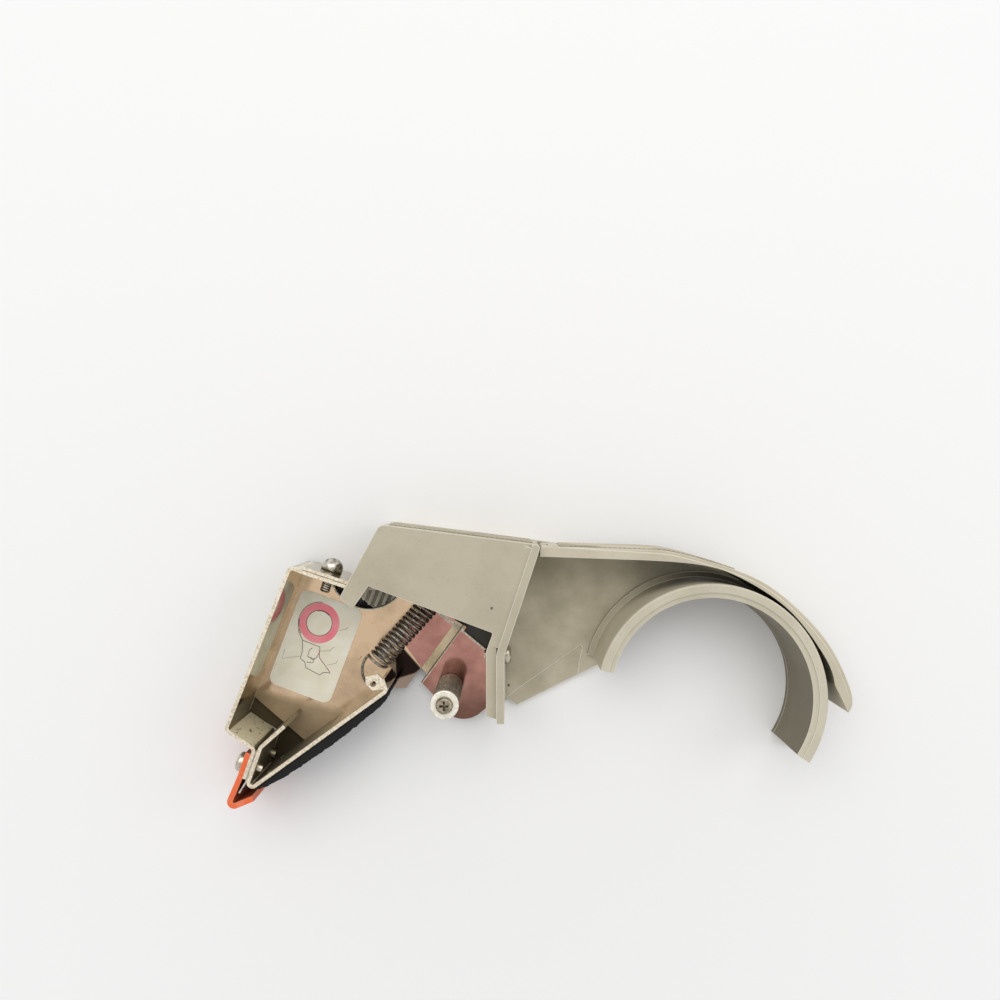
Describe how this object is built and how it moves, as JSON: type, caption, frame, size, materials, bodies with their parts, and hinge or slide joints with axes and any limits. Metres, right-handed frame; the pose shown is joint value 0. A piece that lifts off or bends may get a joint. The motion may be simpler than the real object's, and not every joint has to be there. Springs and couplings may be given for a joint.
{
  "type": "packing tape dispenser",
  "caption": "Handheld one-hand packing tape dispenser: C-shaped core hub, hinged palm rest, knurled roller and a sprung sheet-metal cutting head with a guarded blade.",
  "frame": {"origin": "on the axis of the tape core hub, at the back face of the moulded frame's side plate", "axes": "+X from the cutting head towards the hub, +Y from the wipe-down pad towards the palm rest, +Z out of the open side along the hub's axis"},
  "size_m": [0.2045, 0.0929, 0.0338],
  "materials": {
    "painted_moulding": "satin grey-beige moulded plastic",
    "plated_sheet": "bright nickel-plated steel sheet",
    "plated_fastener": "bright nickel-plated steel",
    "knurled_steel": "diamond-knurled steel",
    "spring_steel": "dark spring steel wire",
    "blade_steel": "ground steel",
    "guard_plastic": "orange plastic",
    "pad_felt": "black felt",
    "label_paper": "cream printed film"
  },
  "bodies": {
    "frame": {"frame": "painted_moulding", "core_hub": "painted_moulding", "palm_rest_pin": "plated_fastener", "hinge_plate": "plated_sheet", "hinge_plate_screw": "plated_fastener", "hinge_pin": "plated_fastener", "roller_bracket": "plated_sheet", "bracket_screw": "plated_fastener", "bracket_nut": "plated_fastener", "roller_stud": "plated_fastener", "roller_washer": "plated_fastener", "roller_screw": "plated_fastener", "spring_post": "plated_fastener"},
    "palm": {"palm_rest": "painted_moulding"},
    "roller": {"knurled_roller": "knurled_steel"},
    "head": {"head_shell": "plated_sheet", "shoe": "plated_sheet", "blade": "blade_steel", "blade_guard": "guard_plastic", "guard_screw_back": "plated_fastener", "guard_screw_front": "plated_fastener", "wipe_pad": "pad_felt", "threading_label": "label_paper", "head_leaf": "plated_sheet", "head_screw": "plated_fastener", "return_spring": "spring_steel"}
  },
  "joints": [
    {"name": "head_tilt", "type": "hinge", "parent": "frame", "child": "head", "pos_m": [-0.1135, 0.0375, 0], "axis": [0, 0, 1], "range_deg": [-12, 0], "stiffness_Nm_per_rad": 0.3, "springref_deg": 8.59, "deforming": ["return_spring"]},
    {"name": "palm_rest_lift", "type": "hinge", "parent": "frame", "child": "palm", "pos_m": [-0.05395, 0.0478, 0], "axis": [0, 0, 1], "range_deg": [0, 26], "stiffness_Nm_per_rad": 0.25, "springref_deg": -5.73},
    {"name": "roller_spin", "type": "hinge", "parent": "frame", "child": "roller", "pos_m": [-0.0864, -0.0009, 0], "axis": [0, 0, 1], "continuous": true}
  ]
}
